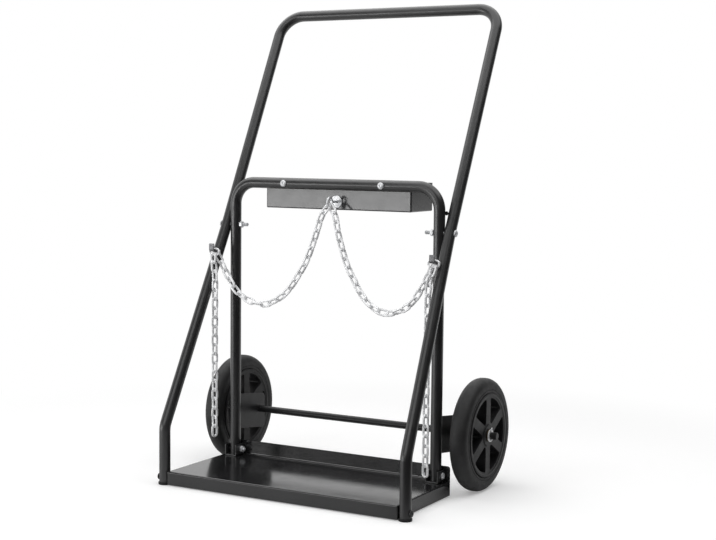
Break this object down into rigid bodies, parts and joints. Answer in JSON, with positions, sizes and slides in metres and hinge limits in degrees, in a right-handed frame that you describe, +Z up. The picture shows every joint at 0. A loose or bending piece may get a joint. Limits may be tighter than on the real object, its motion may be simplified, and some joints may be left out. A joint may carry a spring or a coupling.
{
  "type": "gas cylinder cart",
  "caption": "Two-wheeled upright cart for gas cylinders, with a bent-tube frame and leaning handle, a low steel platform, a tool tray and hold-down chains.",
  "frame": {"origin": "on the floor, in the middle of the outer box without the chains", "axes": "+Z up, -Y toward the platform's front edge, +X to the right of a viewer who faces the front; the wheels turn about X"},
  "size_m": [0.7224, 0.4896, 1.0794],
  "materials": {
    "powder_coat": "semi-gloss black powder coat",
    "tyre_rubber": "matt black rubber",
    "hub_plastic": "black moulded plastic",
    "bush_bronze": "sintered bronze",
    "zinc": "bright zinc plate",
    "chain_zinc": "bright zinc plate"
  },
  "bodies": {
    "cart": {"platform_pan": "powder_coat", "rear_frame": "powder_coat", "handle_frame": "powder_coat", "tool_tray": "powder_coat", "axle": "powder_coat", "axle_bracket_left": "powder_coat", "axle_bracket_right": "powder_coat", "axle_spacer_left": "powder_coat", "axle_spacer_right": "powder_coat", "leg_clevis_left": "powder_coat", "leg_clevis_right": "powder_coat", "frame_stop_left": "powder_coat", "frame_stop_right": "powder_coat", "foot_cap_left": "hub_plastic", "foot_cap_right": "hub_plastic", "eye_bolt": "zinc", "eye_washer": "zinc", "eye_nut": "zinc", "frame_bolt_left": "zinc", "frame_bolt_right": "zinc", "foot_bolt_left": "zinc", "foot_bolt_right": "zinc", "frame_nut_left": "zinc", "frame_nut_right": "zinc", "foot_nut_left": "zinc", "foot_nut_right": "zinc", "leg_bolt_left": "zinc", "leg_bolt_right": "zinc", "leg_nut_left": "zinc", "leg_nut_right": "zinc", "tray_bolt_left": "zinc", "tray_bolt_right": "zinc", "tray_nut_left": "zinc", "tray_nut_right": "zinc", "axle_washer_left": "zinc", "axle_washer_right": "zinc", "split_pin_left": "zinc", "split_pin_right": "zinc", "chain_hook_left": "zinc", "chain_hook_right": "zinc", "chain_swag_left": "chain_zinc", "chain_swag_right": "chain_zinc", "chain_tail_left": "chain_zinc", "chain_tail_right": "chain_zinc"},
    "wheel_left": {"tyre_left": "tyre_rubber", "wheel_hub_left": "hub_plastic", "hub_bush_inner_left": "bush_bronze", "hub_bush_outer_left": "bush_bronze"},
    "wheel_right": {"tyre_right": "tyre_rubber", "wheel_hub_right": "hub_plastic", "hub_bush_inner_right": "bush_bronze", "hub_bush_outer_right": "bush_bronze"}
  },
  "joints": [
    {"name": "wheel_left_spin", "type": "hinge", "parent": "cart", "child": "wheel_left", "pos_m": [-0.319, 0.09017, 0.125], "axis": [1, 0, 0], "continuous": true},
    {"name": "wheel_right_spin", "type": "hinge", "parent": "cart", "child": "wheel_right", "pos_m": [0.319, 0.09017, 0.125], "axis": [1, 0, 0], "continuous": true}
  ]
}
